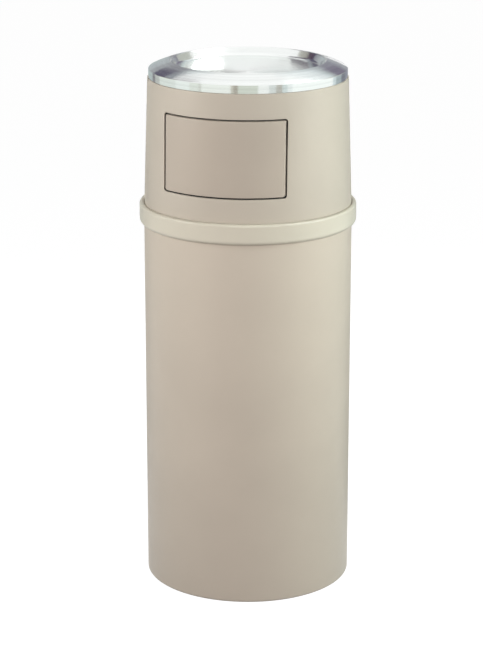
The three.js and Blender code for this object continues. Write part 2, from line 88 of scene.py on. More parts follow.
# ---- Mesh helpers ----
def new_piece(name, bm, body, material, replaces=(), sharp=35.0):
    """A smooth-shaded piece from a bmesh. It rides on a body, if one is given."""
    bmesh.ops.remove_doubles(bm, verts=bm.verts, dist=2e-6)
    bmesh.ops.recalc_face_normals(bm, faces=bm.faces)
    mesh = bpy.data.meshes.new(name)
    bm.to_mesh(mesh)
    bm.free()
    mesh.polygons.foreach_set("use_smooth", [True] * len(mesh.polygons))
    mesh.set_sharp_from_angle(angle=math.radians(sharp))
    obj = bpy.data.objects.new(name, mesh)
    bpy.context.scene.collection.objects.link(obj)
    mesh.materials.append(material)
    if body:
        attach(obj, body)
    if replaces:
        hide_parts(*replaces)
    return obj


def arc(r, z, radius, start, end, steps):
    """Points of an arc in the plane of radius and height, both ends included."""
    made = []
    for i in range(steps + 1):
        a = math.radians(start + (end - start) * i / steps)
        made.append((r + radius * math.cos(a), z + radius * math.sin(a)))
    return made


def held(profile, near=0.0008):
    """The profile with a point near each end of every long stretch, so that flat stretches shade flat."""
    made = []
    for (r0, z0), (r1, z1) in zip(profile, profile[1:]):
        made.append((r0, z0))
        length = math.hypot(r1 - r0, z1 - z0)
        if length > 5 * near:
            for t in (near / length, 1 - near / length):
                made.append((r0 + (r1 - r0) * t, z0 + (z1 - z0) * t))
    made.append(profile[-1])
    return made


def join_rings(bm, rings, columns):
    """Faces from each ring of vertices to the next. A ring of one vertex makes a fan."""
    for low, high in zip(rings, rings[1:]):
        for i in range(columns):
            j = (i + 1) % columns
            corners = [low[i % len(low)], low[j % len(low)], high[j % len(high)], high[i % len(high)]]
            corners = list(dict.fromkeys(corners))
            if len(corners) > 2:
                bm.faces.new(corners)


def turn(bm, profile, columns=COLUMNS):
    """A surface turned round Z from (radius, height) points."""
    rings = []
    for r, z in profile:
        if r < ON_AXIS:
            rings.append([bm.verts.new((0, 0, z))])
            continue
        ring = []
        for i in range(columns):
            a = -math.pi + 2 * math.pi * i / columns
            ring.append(bm.verts.new((r * math.sin(a), -r * math.cos(a), z)))
        rings.append(ring)
    join_rings(bm, rings, columns)


def turn_on_hinge(bm, profile, side=1, columns=48):
    """A surface turned round the hinge's line from (radius, place along X) points."""
    rings = []
    for r, x in profile:
        count = 1 if r < ON_AXIS else columns
        ring = []
        for i in range(count):
            a = 2 * math.pi * i / columns
            y = PIVOT_Y + r * math.cos(a)
            z = PIVOT_Z + r * math.sin(a)
            ring.append(bm.verts.new((side * x, y, z)))
        rings.append(ring)
    join_rings(bm, rings, columns)


def rounded(half, low, high, corner, across=72, up=36, bend=8):
    """A rectangle with round corners as (x, z) points, with the same count whatever its size."""
    made = []
    centres = (
        (half - corner, low + corner, -90),
        (half - corner, high - corner, 0),
        (corner - half, high - corner, 90),
        (corner - half, low + corner, 180),
    )
    for k, (x, z, start) in enumerate(centres):
        turned_corner = arc(x, z, corner, start, start + 90, bend)
        x1, z1, _ = centres[(k + 1) % 4]
        a = math.radians(start + 90)
        ahead = (x1 + corner * math.cos(a), z1 + corner * math.sin(a))
        made += turned_corner
        last = turned_corner[-1]
        count = up if k % 2 == 0 else across
        for i in range(1, count):
            t = i / count
            made.append((last[0] + (ahead[0] - last[0]) * t, last[1] + (ahead[1] - last[1]) * t))
    return made


def on_front(loop, depth):
    """(x, z) points set on the front of the hood, so deep under its outside."""
    return [front_point(x, z, depth) for x, z in loop]


def bridge(bm, first, second):
    """Quads between two closed loops of vertices."""
    count = len(first)
    for i in range(count):
        j = (i + 1) % count
        bm.faces.new((first[i], first[j], second[j], second[i]))


def inside(loop, u, v):
    """Whether a point lies inside a closed loop of points."""
    found = False
    for (u0, v0), (u1, v1) in zip(loop, loop[1:] + loop[:1]):
        if (v0 > v) != (v1 > v) and u < (u1 - u0) * (v - v0) / (v1 - v0) + u0:
            found = not found
    return found


def joined(loops):
    """The points of all the closed loops in one list, and the edges between them."""
    points, edges = [], []
    for loop in loops:
        start = len(points)
        points += loop
        edges += [(start + i, start + (i + 1) % len(loop)) for i in range(len(loop))]
    return points, edges


def flat_net(points, edges):
    """The vertices and triangles of a flat net through the points that keeps the edges."""
    made = delaunay_2d_cdt([Vector(p) for p in points], edges, [], 0, 1e-9)
    return made[0], made[2]


def middle_of(face, verts):
    """The middle of one face of a flat net."""
    u = sum(verts[i].x for i in face) / len(face)
    v = sum(verts[i].y for i in face) / len(face)
    return u, v


def sheet(bm, radius, rows, loops, keep_inside=False):
    """A stretch of cone with holes in it, or only what lies inside one loop. Loops are 3D points."""
    margin = 0.0018  # points of the grid nearer to an edge than this are left out
    scale = radius(rows[0])
    flat = [[(math.atan2(x, -y) * scale, z) for x, y, z in loop] for loop in loops]
    points, edges = joined(flat)
    border = list(points)
    low_u, high_u = min(p[0] for p in border), max(p[0] for p in border)
    for z in rows:
        edge_row = z in (rows[0], rows[-1]) and not keep_inside
        for i in range(COLUMNS + 1):
            u = (-math.pi + 2 * math.pi * i / COLUMNS) * scale
            if not edge_row:
                near = low_u - margin < u < high_u + margin
                if near and min((u - a) ** 2 + (z - b) ** 2 for a, b in border) < margin**2:
                    continue
                if any(inside(loop, u, z) for loop in flat) != keep_inside:
                    continue
            points.append((u, z))
    verts, faces = flat_net(points, edges)
    put = {}
    for face in faces:
        u, v = middle_of(face, verts)
        if any(inside(loop, u, v) for loop in flat) != keep_inside:
            continue
        corners = []
        for i in face:
            if i not in put:
                a, z = verts[i].x / scale, verts[i].y
                r = radius(z)
                put[i] = bm.verts.new((r * math.sin(a), -r * math.cos(a), z))
            corners.append(put[i])
        bm.faces.new(corners)


def plate(bm, outer, holes, x0, x1):
    """A flat plate between two places along X, from an outline and holes in (y, z) points."""
    loops = [outer] + holes
    verts, faces = flat_net(*joined(loops))
    for x in (x0, x1):
        put = [bm.verts.new((x, v.x, v.y)) for v in verts]
        for face in faces:
            u, v = middle_of(face, verts)
            if inside(outer, u, v) and not any(inside(hole, u, v) for hole in holes):
                bm.faces.new([put[i] for i in face])
    for loop in loops:
        near = [bm.verts.new((x0, y, z)) for y, z in loop]
        far = [bm.verts.new((x1, y, z)) for y, z in loop]
        bridge(bm, near, far)


def block(bm, corners):
    """A solid of eight corners: four below and the four above them."""
    v = [bm.verts.new(c) for c in corners]
    for face in ((0, 1, 2, 3), (4, 5, 6, 7), (0, 1, 5, 4), (1, 2, 6, 5), (2, 3, 7, 6), (3, 0, 4, 7)):
        bm.faces.new([v[i] for i in face])


def bar(bm, start, end, profile, columns=32):
    """A round bar from (radius, distance) points measured from start towards end."""
    start, end = Vector(start), Vector(end)
    along = (end - start).normalized()
    turn_to = along.to_track_quat("Z", "Y")
    rings = []
    for r, d in profile:
        count = 1 if r < ON_AXIS else columns
        ring = []
        for i in range(count):
            a = 2 * math.pi * i / columns
            offset = turn_to @ Vector((r * math.cos(a), r * math.sin(a), 0))
            ring.append(bm.verts.new(start + along * d + offset))
        rings.append(ring)
    join_rings(bm, rings, columns)


def tube(bm, points, radius, sides=14):
    """A round tube along points, closed at both ends."""
    points = [Vector(p) for p in points]
    tangent = (points[1] - points[0]).normalized()
    normal = tangent.orthogonal().normalized()
    rings = []
    for i, p in enumerate(points):
        ahead = points[min(i + 1, len(points) - 1)] - points[max(i - 1, 0)]
        ahead.normalize()
        normal = (normal - ahead * normal.dot(ahead)).normalized()
        side = ahead.cross(normal)
        ring = []
        for k in range(sides):
            a = 2 * math.pi * k / sides
            ring.append(bm.verts.new(p + radius * (math.cos(a) * normal + math.sin(a) * side)))
        rings.append(ring)
    for low, high in zip(rings, rings[1:]):
        bridge(bm, low, high)
    bm.faces.new(rings[0])
    bm.faces.new(rings[-1])


# ---- Materials ----
def material(name):
    """A node material with its main shader and its texture coordinates in metres."""
    made = bpy.data.materials.new(name)
    made.use_nodes = True
    nodes, links = made.node_tree.nodes, made.node_tree.links
    shader = nodes["Principled BSDF"]
    place = nodes.new("ShaderNodeTexCoord").outputs["Object"]
    return made, nodes, links, shader, place


def noise(nodes, links, place, scale, detail):
    """A cloudy value from 0 to 1 in space."""
    node = nodes.new("ShaderNodeTexNoise")
    node.inputs["Scale"].default_value = scale
    node.inputs["Detail"].default_value = detail
    links.new(place, node.inputs["Vector"])
    return node.outputs["Fac"]


def noise_along(nodes, links, run, scale, detail):
    """A cloudy value from 0 to 1 along one distance."""
    node = nodes.new("ShaderNodeTexNoise")
    node.noise_dimensions = "1D"
    node.inputs["Scale"].default_value = scale
    node.inputs["Detail"].default_value = detail
    links.new(run, node.inputs["W"])
    return node.outputs["Fac"]


def spread(nodes, links, value, low, high):
    """A cloudy value, which mostly lies between 0.3 and 0.7, mapped to between low and high."""
    node = nodes.new("ShaderNodeMapRange")
    node.inputs["From Min"].default_value = 0.3
    node.inputs["From Max"].default_value = 0.7
    node.inputs["To Min"].default_value = low
    node.inputs["To Max"].default_value = high
    links.new(value, node.inputs["Value"])
    return node.outputs["Result"]


def between(nodes, links, value, first, second):
    """A colour between two, by a value from 0 to 1."""
    node = nodes.new("ShaderNodeMix")
    node.data_type = "RGBA"
    node.inputs["A"].default_value = (*first, 1)
    node.inputs["B"].default_value = (*second, 1)
    links.new(value, node.inputs["Factor"])
    return node.outputs["Result"]


def bumps(nodes, links, value, distance, strength, under=None):
    """A bumped normal from a height value, on top of another one if that is given."""
    node = nodes.new("ShaderNodeBump")
    node.inputs["Strength"].default_value = strength
    node.inputs["Distance"].default_value = distance
    links.new(value, node.inputs["Height"])
    if under is not None:
        links.new(under, node.inputs["Normal"])
    return node.outputs["Normal"]


def plastic(name, colour, roughness=0.42, grain=1.0):
    """Moulded plastic: faint cloudy colour, a fine stipple and slightly uneven gloss."""
    made, nodes, links, shader, place = material(name)
    shade = 0.03  # how much the colour varies either way
    cloud = spread(nodes, links, noise(nodes, links, place, 7, 4), 0, 1)
    darker = tuple(c * (1 - shade) for c in colour)
    lighter = tuple(c * (1 + shade) for c in colour)
    links.new(between(nodes, links, cloud, darker, lighter), shader.inputs["Base Color"])
    sheen = noise(nodes, links, place, 60, 5)
    links.new(spread(nodes, links, sheen, roughness - 0.03, roughness + 0.04), shader.inputs["Roughness"])
    stipple = noise(nodes, links, place, 1500, 2)
    soft = noise(nodes, links, place, 14, 2)
    waves = bumps(nodes, links, soft, 0.0012 * grain, 0.25)
    links.new(bumps(nodes, links, stipple, 0.00012 * grain, 0.35, waves), shader.inputs["Normal"])
    return made


def along_profile(nodes, links, place):
    """The distance from the axis plus the height, which runs along a turned sheet's profile."""
    split = nodes.new("ShaderNodeSeparateXYZ")
    links.new(place, split.inputs["Vector"])
    flat = nodes.new("ShaderNodeCombineXYZ")
    links.new(split.outputs["X"], flat.inputs["X"])
    links.new(split.outputs["Y"], flat.inputs["Y"])
    length = nodes.new("ShaderNodeVectorMath")
    length.operation = "LENGTH"
    links.new(flat.outputs["Vector"], length.inputs[0])
    total = nodes.new("ShaderNodeMath")
    total.operation = "ADD"
    links.new(length.outputs["Value"], total.inputs[0])
    links.new(split.outputs["Z"], total.inputs[1])
    return total.outputs["Value"]


def spun_metal(name, colour, roughness):
    """Metal spun on a lathe: fine rings round the axis, a polish that varies from ring to ring."""
    made, nodes, links, shader, place = material(name)
    shader.inputs["Metallic"].default_value = 1
    shader.inputs["Anisotropic"].default_value = 0.95
    shader.inputs["Anisotropic Rotation"].default_value = 0.25
    tangent = nodes.new("ShaderNodeTangent")
    tangent.direction_type = "RADIAL"
    tangent.axis = "Z"
    links.new(tangent.outputs["Tangent"], shader.inputs["Tangent"])
    run = along_profile(nodes, links, place)
    rings = noise_along(nodes, links, run, 900, 3)
    turns = noise_along(nodes, links, run, 220, 4)
    tone = spread(nodes, links, turns, 0, 1)
    dull = tuple(c * 0.92 for c in colour)
    links.new(between(nodes, links, tone, dull, colour), shader.inputs["Base Color"])
    polish = spread(nodes, links, rings, roughness - 0.03, roughness + 0.05)
    links.new(polish, shader.inputs["Roughness"])
    waves = bumps(nodes, links, noise(nodes, links, place, 10, 1), 0.0006, 0.15)
    links.new(bumps(nodes, links, rings, 0.00002, 0.3, waves), shader.inputs["Normal"])
    return made


def plated_metal(name, colour, roughness):
    """Plated steel with a faint spangle, uneven gloss and fine bumps."""
    made, nodes, links, shader, place = material(name)
    shader.inputs["Metallic"].default_value = 1
    cloud = spread(nodes, links, noise(nodes, links, place, 120, 4), 0, 1)
    dull = tuple(c * 0.8 for c in colour)
    links.new(between(nodes, links, cloud, dull, colour), shader.inputs["Base Color"])
    uneven = noise(nodes, links, place, 350, 5)
    links.new(spread(nodes, links, uneven, roughness - 0.08, roughness + 0.1), shader.inputs["Roughness"])
    links.new(bumps(nodes, links, uneven, 0.00004, 0.3), shader.inputs["Normal"])
    return made


BODY_BEIGE = plastic("body beige", (0.52, 0.455, 0.37))
HOOD_BEIGE = plastic("hood beige", (0.454, 0.403, 0.330))
DOOR_BEIGE = plastic("door beige", (0.411, 0.354, 0.288))
COLLAR_CREAM = plastic("collar cream", (0.564, 0.522, 0.422), 0.32)
LINER_GREY = plastic("liner grey", (0.16, 0.165, 0.17), 0.55, 1.5)
NYLON = plastic("bush nylon", (0.78, 0.77, 0.72), 0.4, 0.5)
# The bumpers' own black rubber; the same dark colour also serves as painted shade on the strip in the
# door's gap.
RUBBER_AND_GAP_SHADE = plastic("bumper rubber and gap shade", (0.025, 0.025, 0.025), 0.75, 2.0)
TRAY_METAL = spun_metal("tray metal", (0.94, 0.965, 0.95), 0.15)
ZINC = plated_metal("hinge zinc", (0.62, 0.63, 0.64), 0.38)
SPRING_STEEL = plated_metal("spring steel", (0.42, 0.43, 0.44), 0.32)

# ---- Container ----
FLOOR_LOW, FLOOR_HIGH = 0.010, 0.0143
BASE_FILLET = 0.004
RIM_EDGE = 0.0006
BORE_EDGE = 0.0008

bm = bmesh.new()
outer = [(0.0, FLOOR_LOW), (0.1622, FLOOR_LOW), (0.1676, 0.0006), (0.1684, 0.0)]
outer += arc(BODY_R - BASE_FILLET, BASE_FILLET, BASE_FILLET, -90, 0, 8)
outer += [(BODY_R, RIM_Z - 0.0092), (BEAD_R, RIM_Z - 0.007)]
outer += arc(BEAD_R - RIM_EDGE, RIM_Z - RIM_EDGE, RIM_EDGE, 0, 90, 3)
outer += arc(BORE_R + BORE_EDGE, RIM_Z - BORE_EDGE, BORE_EDGE, 90, 180, 3)
outer += arc(BORE_R - BASE_FILLET, 0.0083, BASE_FILLET, 0, -90, 6)
outer += [(0.1706, 0.0043), (0.1654, 0.0137), (0.1646, FLOOR_HIGH), (0.0, FLOOR_HIGH)]
turn(bm, held(outer))
new_piece("tub_skin", bm, "container", BODY_BEIGE, ["container_shell"])

COLLAR_LOW_BEND = 0.008
COLLAR_TOP_BEND = 0.0045
LIP_EDGE = 0.0009

bm = bmesh.new()
ring = [(BODY_R + SEAT, COLLAR_LOW + 0.0008), (BODY_R + 0.0011, COLLAR_LOW)]
ring += arc(COLLAR_R - COLLAR_LOW_BEND, COLLAR_LOW + COLLAR_LOW_BEND, COLLAR_LOW_BEND, -74, 0, 10)
ring += arc(COLLAR_R - COLLAR_TOP_BEND, COLLAR_TOP - COLLAR_TOP_BEND, COLLAR_TOP_BEND, 0, 90, 9)
ring += arc(LIP_R + LIP_EDGE, COLLAR_TOP - LIP_EDGE, LIP_EDGE, 90, 180, 3)
ring += [(LIP_R, RIM_Z + SEAT), (BEAD_R + SEAT, RIM_Z + SEAT), (BEAD_R + SEAT, RIM_Z - 0.0073)]
ring += [(BODY_R + SEAT, RIM_Z - 0.0095), (BODY_R + SEAT, COLLAR_LOW + 0.0008)]
turn(bm, held(ring))
new_piece("collar_skin", bm, "container", COLLAR_CREAM, ["rim_collar"])

# ---- Rigid liner ----
LINER_LOW, LINER_TOP = 0.0146, 0.6506
LINER_LOW_R, LINER_TOP_R = 0.163, 0.1745
LINER_WALL = 0.003
LINER_BEND = 0.008  # round the foot, outside
INNER_BEND = 0.0065  # round the foot, inside
LINER_RIM_R = 0.176
RIM_UNDER = 0.6386
GRIP_END = 0.013  # radius of the hand slot's round ends
GRIP_HALF = 0.035
GRIP_BELOW_RIM = 0.016


def liner_r(z):
    """Outside radius of the liner's wall at a height."""
    t = (z - LINER_LOW - LINER_BEND) / (LINER_TOP - LINER_WALL - LINER_LOW - LINER_BEND)
    return LINER_LOW_R + (LINER_TOP_R - LINER_LOW_R) * t


def liner_inner(z):
    """Inside radius of the liner's wall at a height."""
    return liner_r(z) - LINER_WALL


def grip_loop(side, radius):
    """The hand slot's edge on the liner's wall."""
    middle = LINER_TOP - GRIP_BELOW_RIM - GRIP_END
    flat = []
    for centre, start, edge in ((GRIP_HALF, -90, 1), (-GRIP_HALF, 90, -1)):
        flat += [(centre + y, z) for y, z in arc(0, middle, GRIP_END, start, start + 180, 14)]
        for i in range(1, 20):
            flat.append((centre + (-centre - centre) * i / 20, middle + GRIP_END * edge))
    return [(side * math.sqrt(radius(z) ** 2 - y * y), y, z) for y, z in flat]


bm = bmesh.new()
rows = [LINER_LOW + LINER_BEND, LINER_LOW + 0.009, 0.2, 0.4, 0.55, 0.59, 0.6, 0.608, 0.62, 0.628]
rows += [0.64, 0.6476]
outer_grips = [grip_loop(s, liner_r) for s in (1, -1)]
inner_grips = [grip_loop(s, liner_inner) for s in (1, -1)]
sheet(bm, liner_r, rows, outer_grips)
inner_rows = [LINER_LOW + 0.0095, LINER_LOW + 0.0105] + rows[2:-1] + [LINER_TOP - 0.001]
sheet(bm, liner_inner, inner_rows, inner_grips)
for near, far in zip(outer_grips, inner_grips):
    bridge(bm, [bm.verts.new(p) for p in near], [bm.verts.new(p) for p in far])
rim = [(liner_r(rows[-1]), rows[-1]), (LINER_RIM_R, rows[-1]), (LINER_RIM_R, RIM_UNDER)]
rim += [(0.179, RIM_UNDER)]
rim += arc(0.1778, LINER_TOP - 0.0012, 0.0012, 0, 90, 4)
rim += [(0.1724, LINER_TOP), (liner_inner(LINER_TOP - 0.001), LINER_TOP - 0.001)]
turn(bm, rim)
foot = [(0.0, LINER_LOW)] + arc(0.155, LINER_LOW + LINER_BEND, LINER_BEND, -90, 0, 8)
turn(bm, held(foot))
bend_z = LINER_LOW + 0.0095
inner_foot = [(0.0, LINER_LOW + LINER_WALL)]
inner_foot += arc(liner_inner(bend_z) - INNER_BEND, bend_z, INNER_BEND, -90, 0, 8)
turn(bm, held(inner_foot))
new_piece("liner_skin", bm, "liner", LINER_GREY, ["rigid_liner"])

# ---- Hood ----
EDGE = 0.0007  # rounding of the window's outer edge
SHOULDER = 0.0015  # rounding of the hood's top edge
FOOT_EDGE = 0.0008  # rounding of the hood's foot
INNER_LOW, INNER_TOP = 0.7062, 0.9305  # where the plain inner wall starts and ends
NECK_R, NECK_BORE, NECK_INSIDE = 0.1763, 0.1503, 0.1728
NECK_UNDER, NECK_SIDE_TOP, NECK_TOP = 0.9458, 0.9487, 0.9493
SPIGOT_BORE, SPIGOT_R = 0.1805, 0.184
SPIGOT_LOW = 0.6723


def hood_inner(z):
    """Inside radius of the hood at a height."""
    return hood_r(z) - WALL


def window_loop(grow, depth):
    """The window's edge, grown by so much and so deep under the hood's outside."""
    loop = rounded(WINDOW_HALF + grow, WINDOW_LOW - grow, WINDOW_TOP + grow, WINDOW_CORNER + grow)
    return on_front(loop, depth)


bm = bmesh.new()
outer_rows = [HOOD_LOW + FOOT_EDGE, HOOD_LOW + 0.0018, 0.71, 0.73, 0.745, 0.76, 0.79, 0.823, 0.857, 0.885]
outer_rows += [0.9, 0.915, HOOD_TOP - SHOULDER - 0.001, HOOD_TOP - SHOULDER]
sheet(bm, hood_r, outer_rows, [window_loop(EDGE, 0)])
inner_rows = [INNER_LOW, 0.7072, 0.73, 0.745, 0.76, 0.79, 0.823, 0.857, 0.885, 0.9, 0.915, 0.9295]
inner_rows += [INNER_TOP]
sheet(bm, hood_inner, inner_rows, [window_loop(0, WALL)])
loops = []
for step in range(5):
    a = math.radians(22.5 * step)
    loops.append(window_loop(EDGE * (1 - math.sin(a)), EDGE * (1 - math.cos(a))))
loops.append(window_loop(0, WALL))
cut = [[bm.verts.new(p) for p in loop] for loop in loops]
for near, far in zip(cut, cut[1:]):
    bridge(bm, near, far)
top_r = hood_r(HOOD_TOP - SHOULDER)
crest = arc(top_r - SHOULDER, HOOD_TOP - SHOULDER, SHOULDER, 0, 90, 6)
crest += [(0.1768, HOOD_TOP), (NECK_R, HOOD_TOP + 0.0005), (NECK_R, NECK_SIDE_TOP), (0.1757, NECK_TOP)]
crest += [(0.1509, NECK_TOP), (NECK_BORE, NECK_SIDE_TOP), (NECK_BORE, NECK_UNDER)]
crest += [(NECK_INSIDE, NECK_UNDER), (NECK_INSIDE, 0.9343)]
crest += [(hood_inner(INNER_TOP), INNER_TOP)]
turn(bm, crest)
spigot = [(hood_inner(INNER_LOW), INNER_LOW), (SPIGOT_BORE, 0.7023), (SPIGOT_BORE, SPIGOT_LOW)]
spigot += [(0.1832, SPIGOT_LOW), (SPIGOT_R, 0.6739), (SPIGOT_R, HOOD_LOW), (0.1879, HOOD_LOW)]
low_r = hood_r(HOOD_LOW + FOOT_EDGE)
spigot += arc(low_r - FOOT_EDGE, HOOD_LOW + FOOT_EDGE, FOOT_EDGE, -90, 0, 4)[1:]
turn(bm, spigot)

GUSSETS = 8
GUSSET_HALF = 0.0015
GUSSET_SIDE = ((0.1533, 0.9462), (0.1731, 0.9462), (0.1731, 0.9339), (0.1712, 0.9368))
for i in range(GUSSETS):
    spin = Matrix.Rotation(math.radians(360 / GUSSETS * (i + 0.5)), 3, "Z")
    corners = [spin @ Vector((r, y, z)) for y in (-GUSSET_HALF, GUSSET_HALF) for r, z in GUSSET_SIDE]
    block(bm, corners)

# The bosses for the bracket screws stand square to the brackets' feet, on the hood's inside.
BUSH_LENGTH = 0.008
BEND = math.radians(35)
OUTWARD = Vector((math.cos(BEND), -math.sin(BEND), 0))
FOOT_RUN = Vector((math.sin(BEND), math.cos(BEND), 0))
BRACKET_IN = DOOR_HALF + BUSH_LENGTH + 2 * SEAT
STRAP = 0.0025  # thickness of the bent straps
FOOT_START = Vector((BRACKET_IN + STRAP / 2, PIVOT_Y + 0.011, 0))
SCREW_AT = FOOT_START + FOOT_RUN * 0.018
SCREW_ZS = (PIVOT_Z - 0.0075, PIVOT_Z + 0.0075)
BOSS_R, BOSS_HOLE = 0.005, 0.00215
BOSS_DEPTH = 0.0128


def mirrored(vector, side):
    """The vector on the right side as it is, or on the left side mirrored."""
    return Vector((vector.x * side, vector.y, vector.z))


for side in (1, -1):
    for z in SCREW_ZS:
        start = SCREW_AT + OUTWARD * 0.00155 + Vector((0, 0, z))
        end = SCREW_AT + OUTWARD * 0.0205 + Vector((0, 0, z))
        length = (end - start).length
        boss = [(0.0, BOSS_DEPTH), (BOSS_HOLE, BOSS_DEPTH), (BOSS_HOLE, 0.0003), (0.0024, 0)]
        boss += [(0.0047, 0), (BOSS_R, 0.0003), (BOSS_R, length), (0.0, length)]
        bar(bm, mirrored(start, side), mirrored(end, side), boss)
new_piece("hood_skin", bm, "hood", HOOD_BEIGE, ["hood_shell"])

# ---- Door ----
DOOR_LOW = WINDOW_LOW + DOOR_GAP
DOOR_TOP = WINDOW_TOP - DOOR_GAP
DOOR_CORNER = 0.0035
DOOR_EDGE = 0.001  # rounding of the door's outer edge
DOOR_WALL = 0.003


def door_loop(grow, depth):
    """The door's edge, grown by so much and so deep under the hood's outside."""
    corner = max(DOOR_CORNER + grow, 0.0008)
    return on_front(rounded(DOOR_HALF + grow, DOOR_LOW - grow, DOOR_TOP + grow, corner), depth)


def pocket_loop(grow, depth):
    """The edge of the hollow behind the door's skin."""
    half = DOOR_HALF - DOOR_WALL + grow
    low, high = DOOR_LOW + DOOR_WALL - grow, DOOR_TOP - DOOR_WALL + grow
    return on_front(rounded(half, low, high, DOOR_CORNER + grow), depth)


def flange_loop(grow, depth):
    """The edge of the flange that laps behind the window."""
    half = WINDOW_HALF + 0.003 + grow
    low, high = WINDOW_LOW - 0.009 - grow, WINDOW_TOP + 0.005 + grow
    return on_front(rounded(half, low, high, 0.005 + grow), depth)


def door_back(z):
    """Radius of the back of the door's skin at a height."""
    return hood_r(z) - DOOR_SKIN


bm = bmesh.new()
door_rows = [DOOR_LOW + 0.002 + (DOOR_TOP - DOOR_LOW - 0.004) * i / 9 for i in range(10)]
sheet(bm, hood_r, door_rows, [door_loop(-DOOR_EDGE, 0)], keep_inside=True)
sheet(bm, door_back, door_rows, [pocket_loop(-0.0005, DOOR_SKIN)], keep_inside=True)
loops = []
for step in range(6):
    a = math.radians(18 * step)
    loops.append(door_loop(-DOOR_EDGE * (1 - math.sin(a)), DOOR_EDGE * (1 - math.cos(a))))
loops.append(door_loop(0, FLANGE_FRONT))
loops.append(flange_loop(-0.0004, FLANGE_FRONT))
loops.append(flange_loop(0, FLANGE_FRONT + 0.0004))
loops.append(flange_loop(0, FLANGE_BACK - 0.0004))
loops.append(flange_loop(-0.0004, FLANGE_BACK))
loops.append(pocket_loop(0.0003, FLANGE_BACK))
loops.append(pocket_loop(0, FLANGE_BACK - 0.0003))
loops.append(pocket_loop(0, DOOR_SKIN + 0.0005))
loops.append(pocket_loop(-0.0005, DOOR_SKIN))
shell = [[bm.verts.new(p) for p in loop] for loop in loops]
for near, far in zip(shell, shell[1:]):
    bridge(bm, near, far)

# Three upright ribs and one that runs across, as (distance aside, depth) points.
RIB_SECTION = ((-0.0011, 0.0028), (0.0011, 0.0028), (0.0011, 0.007), (-0.0011, 0.007))
RIB_SHORT = 0.002  # how far the ribs end inside the door's edge
for x in (-0.054, 0.0, 0.054):
    low = [front_point(x + dx, DOOR_LOW + RIB_SHORT, d) for dx, d in RIB_SECTION]
    high = [front_point(x + dx, DOOR_TOP - RIB_SHORT, d) for dx, d in RIB_SECTION]
    block(bm, low + high)
middle = (DOOR_LOW + DOOR_TOP) / 2
rings = []
for i in range(61):
    x = (DOOR_HALF - RIB_SHORT) * (i / 30 - 1)
    rings.append([bm.verts.new(front_point(x, middle + dz, d)) for dz, d in RIB_SECTION])
for near, far in zip(rings, rings[1:]):
    bridge(bm, near, far)
bm.faces.new(rings[0])
bm.faces.new(rings[-1])

# An ear at each side carries a bush.
EAR_R = 0.0075
EAR_HOLE = 0.0046
for side in (1, -1):
    x0, x1 = side * (DOOR_HALF - DOOR_WALL), side * DOOR_HALF
    at = DOOR_HALF - 0.0015
    heights = (WINDOW_TOP - 0.048, WINDOW_TOP - 0.03, DOOR_TOP - 0.001)
    outline = [front_point(at, z, 0.0025)[1:] for z in heights]
    outline += [front_point(at, z, FLANGE_FRONT)[1:] for z in (DOOR_TOP - 0.0005, WINDOW_TOP + 0.005)]
    outline += arc(PIVOT_Y, PIVOT_Z, EAR_R, 135, -45, 20)
    hole = arc(PIVOT_Y, PIVOT_Z, EAR_HOLE, 0, 345, 23)
    plate(bm, outline, [hole], x0, x1)
new_piece("door_skin", bm, "door", DOOR_BEIGE, ["door_panel"])

# A dark strip on the flange, which isn't in the CAD model, behind the gap round the door: painted shade
# that makes the gap look deep and dark.
bm = bmesh.new()
SHADE_STRIP_FRONT = FLANGE_FRONT - 0.0012
loops = []
for grow, depth in (
    (-0.0026, FLANGE_FRONT),
    (-0.0026, SHADE_STRIP_FRONT + 0.0003),
    (-0.0023, SHADE_STRIP_FRONT),
    (0.0023, SHADE_STRIP_FRONT),
    (0.0026, SHADE_STRIP_FRONT + 0.0003),
    (0.0026, FLANGE_FRONT),
    (-0.0026, FLANGE_FRONT),
):
    corner = 0.0062 + grow
    outline = rounded(WINDOW_HALF + grow, WINDOW_LOW - grow, WINDOW_TOP + grow, corner)
    loops.append([bm.verts.new(p) for p in on_front(outline, depth)])
for near, far in zip(loops, loops[1:]):
    bridge(bm, near, far)
# This dark strip is painted shade in the gap round the door, not a real seal.
new_piece("door_gap_painted_shade", bm, "door", RUBBER_AND_GAP_SHADE)

# ---- Ash tray ----
# The shoulder's rounding, the fillet and the dish's floor differ from the CAD model's by up to 1.8 mm.
TRAY_R = 0.1785
TRAY_COLUMNS = 384
TRAY_LOW = 0.9386
TRAY_SHOULDER = 0.9541
RIDGE_R = 0.140
RIDGE_TOP = 0.9676
SHEET_T = 0.0016
TRAY_CORNER = 0.0014
RIDGE_BEND = 0.0026
TRAY_CROWN = 0.0012  # how far the rim bulges over a straight cone
DISH_MIDDLE = 0.9476
DISH_DROP = 0.005  # from the floor's edge to its middle
DISH_BOWL = 4.4  # a higher power makes a flatter middle
FILLET = 0.01
FILLET_AT = (0.12398, 0.96245)


def tray_profile():
    """The tray's upper face, from the foot of the skirt to the centre of the dish."""
    centre = TRAY_R - TRAY_CORNER
    slope = math.degrees(math.atan2(RIDGE_TOP - TRAY_SHOULDER, centre - RIDGE_R))
    lean = 90 - slope
    made = [(TRAY_R, TRAY_LOW)]
    made += arc(centre, TRAY_SHOULDER - TRAY_CORNER, TRAY_CORNER, 0, lean, 10)
    ridge = arc(RIDGE_R, RIDGE_TOP - RIDGE_BEND, RIDGE_BEND, lean, 150, 10)
    first, last = made[-1], ridge[0]
    for i in range(1, 24):
        t = i / 24
        r = first[0] + (last[0] - first[0]) * t
        made.append((r, first[1] + (last[1] - first[1]) * t + TRAY_CROWN * 4 * t * (1 - t)))
    made += ridge
    made += arc(*FILLET_AT, FILLET, -30, -80, 12)
    edge = made[-1][0]
    for i in range(1, 25):
        t = 1 - i / 24
        made.append((edge * t, DISH_MIDDLE + DISH_DROP * t**DISH_BOWL))
    return made


